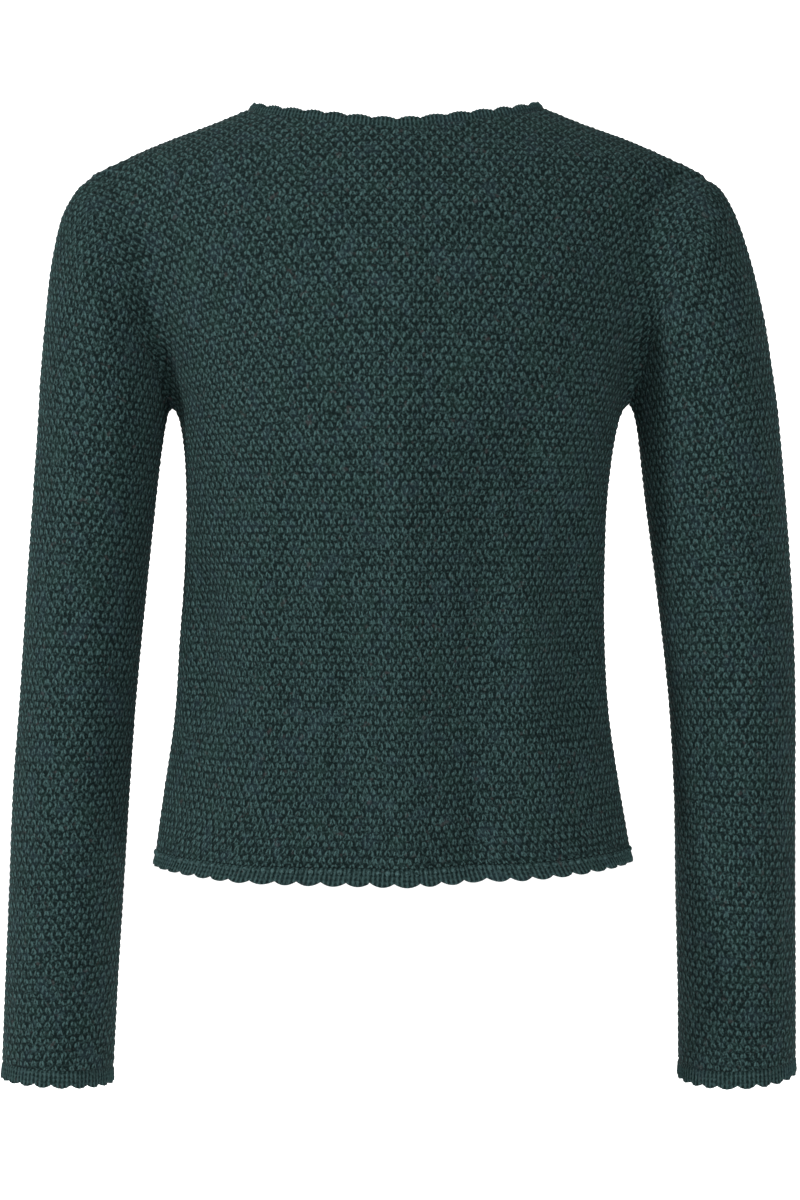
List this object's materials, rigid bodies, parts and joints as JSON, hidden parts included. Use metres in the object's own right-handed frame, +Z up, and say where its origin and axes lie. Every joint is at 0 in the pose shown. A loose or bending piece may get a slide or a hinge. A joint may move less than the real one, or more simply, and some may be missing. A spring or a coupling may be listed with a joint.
{
  "type": "trachten cardigan",
  "caption": "Long-sleeved round-necked folk cardigan in chunky dark green knit, buttoned up the front, with scalloped rib edging at neck, hem and cuffs, worn shape, hollow.",
  "frame": {"origin": "midway between the two neck ends of the shoulder seams, just above them, where the wearer's shoulders carry the cardigan", "axes": "+Z up, -Y to the buttoned front, +Y to the back, +X to the wearer's left"},
  "size_m": [0.5219, 0.237, 0.6409],
  "materials": {
    "knit": "matt chunky wool knit",
    "edging": "matt ribbed wool knit",
    "button": "satin horn"
  },
  "bodies": {
    "root": {"back_panel": "knit", "front_left": "knit", "front_right": "knit", "sleeve_left": "knit", "sleeve_right": "knit", "neck_edging": "edging", "hem_edging": "edging", "cuff_edging_left": "edging", "cuff_edging_right": "edging", "button_band": "edging", "buttonhole_band": "edging", "button_1": "button", "button_2": "button", "button_3": "button", "button_4": "button", "button_5": "button", "button_6": "button", "button_7": "button"}
  },
  "joints": []
}
